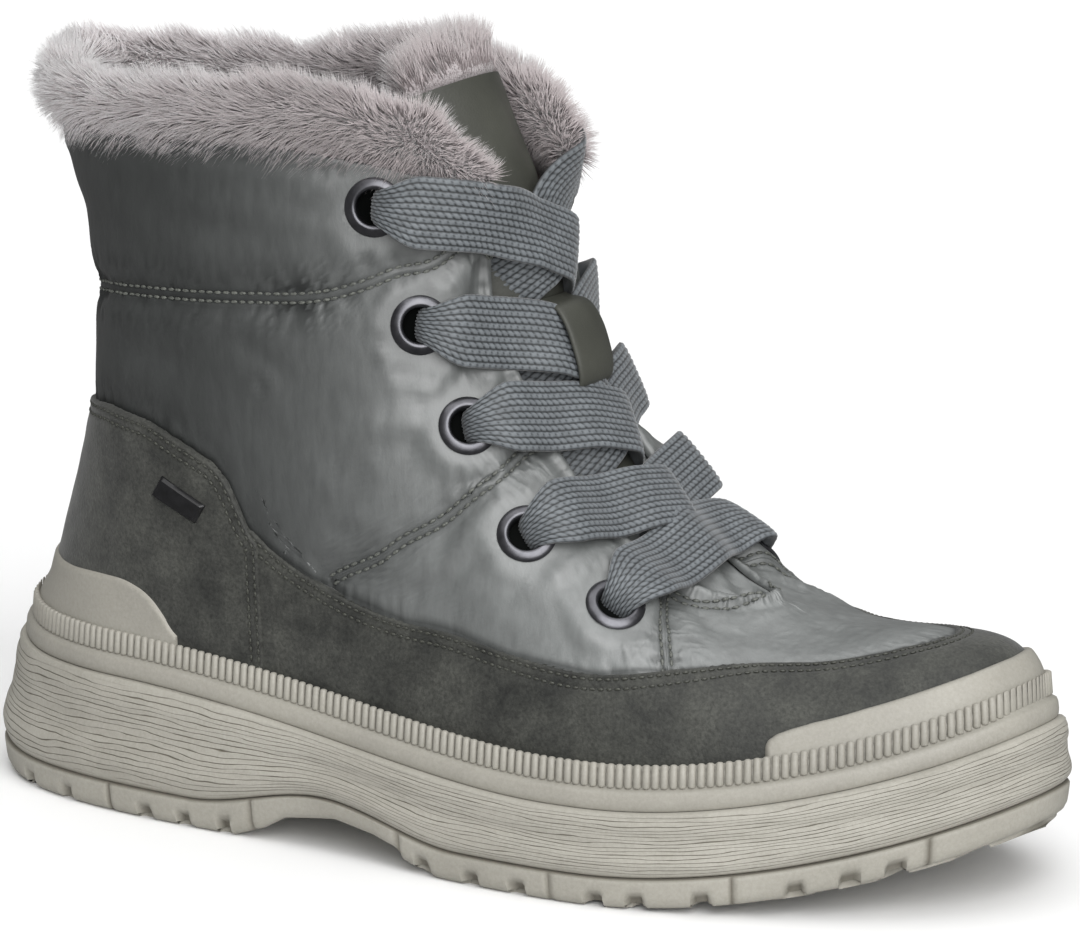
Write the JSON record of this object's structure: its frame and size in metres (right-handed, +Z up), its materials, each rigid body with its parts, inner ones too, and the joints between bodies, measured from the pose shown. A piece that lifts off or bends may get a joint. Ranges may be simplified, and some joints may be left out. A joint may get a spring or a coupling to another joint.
{
  "type": "ankle boot",
  "caption": "Padded winter ankle boot with a thick lugged sole, leather heel and mudguard overlays, a fur collar and tongue edge, and flat laces across the instep.",
  "frame": {"origin": "middle of the boot's box in plan, on the ground under the sole", "axes": "+X towards the toe, +Y towards the inner (medial) side of the foot, +Z up"},
  "size_m": [0.2804, 0.1088, 0.1889],
  "materials": {
    "sole_rubber": "matte beige-grey moulded rubber",
    "padded_cloth": "satin grey-green woven nylon over padding",
    "leather": "matte dark olive-grey nubuck",
    "fur": "light grey pile fur",
    "lace_webbing": "slate grey flat braid",
    "gunmetal": "polished gunmetal",
    "insole_felt": "grey pile felt",
    "badge_plate": "blank satin black"
  },
  "bodies": {
    "root": {"outsole": "sole_rubber", "midsole": "sole_rubber", "foxing": "sole_rubber", "insole": "insole_felt", "upper": "padded_cloth", "heel_counter": "leather", "mudguard": "leather", "heel_bumper": "sole_rubber", "toe_bumper": "sole_rubber", "tongue": "leather", "tongue_fur": "fur", "fur_collar": "fur", "lace_crossing_1": "lace_webbing", "lace_crossing_2": "lace_webbing", "lace_crossing_3": "lace_webbing", "lace_crossing_4": "lace_webbing", "lace_bar": "lace_webbing", "lace_keeper": "leather", "badge": "badge_plate", "eyelet_outer_1": "gunmetal", "eyelet_outer_2": "gunmetal", "eyelet_outer_3": "gunmetal", "eyelet_outer_4": "gunmetal", "eyelet_outer_5": "gunmetal", "eyelet_inner_1": "gunmetal", "eyelet_inner_2": "gunmetal", "eyelet_inner_3": "gunmetal", "eyelet_inner_4": "gunmetal", "eyelet_inner_5": "gunmetal"}
  },
  "joints": []
}
